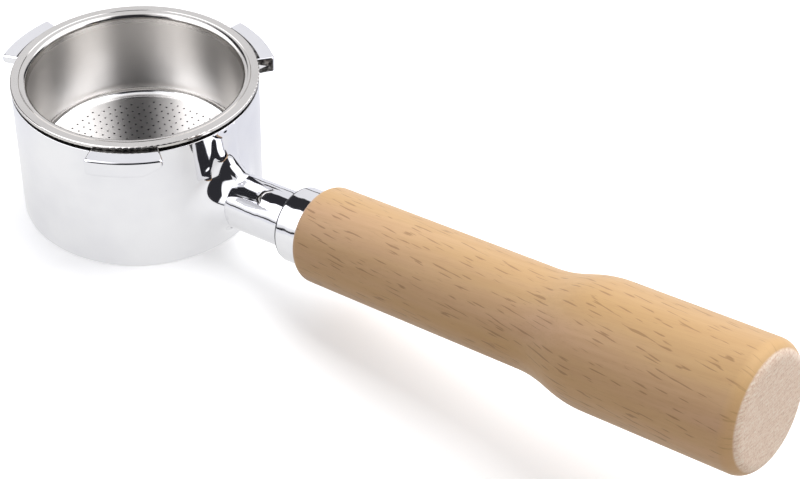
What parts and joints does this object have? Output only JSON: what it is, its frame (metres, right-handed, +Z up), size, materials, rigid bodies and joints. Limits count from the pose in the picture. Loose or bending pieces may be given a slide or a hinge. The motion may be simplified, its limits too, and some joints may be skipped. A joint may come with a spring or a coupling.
{
  "type": "portafilter",
  "caption": "Bottomless espresso portafilter: chromed cup with bayonet lugs and a cast neck, a lift-out perforated filter basket held by a wire ring, and a turned wooden handle on a stud.",
  "frame": {"origin": "centre of the cup's open lower face, on the cup's axis", "axes": "+Z up the cup's axis, out of the basket's mouth; +X along the handle, seen from above"},
  "size_m": [0.2116, 0.0646, 0.0505],
  "materials": {
    "chrome_plate": "polished",
    "basket_steel": "satin",
    "spring_steel": "gloss",
    "stud_steel": "satin",
    "black_rubber": "matte",
    "ferrule_chrome": "polished",
    "insert_brass": "satin",
    "beech": "satin"
  },
  "bodies": {
    "holder": {"portafilter_body": "chrome_plate", "basket_spring": "spring_steel", "handle_stud": "stud_steel", "handle_seal": "black_rubber", "ferrule": "ferrule_chrome", "threaded_insert": "insert_brass", "wood_handle": "beech"},
    "basket": {"filter_basket": "basket_steel"}
  },
  "joints": [
    {"name": "basket_lift", "type": "slide", "parent": "holder", "child": "basket", "axis": [0, 0, 1], "range_m": [0, 0.032]}
  ]
}
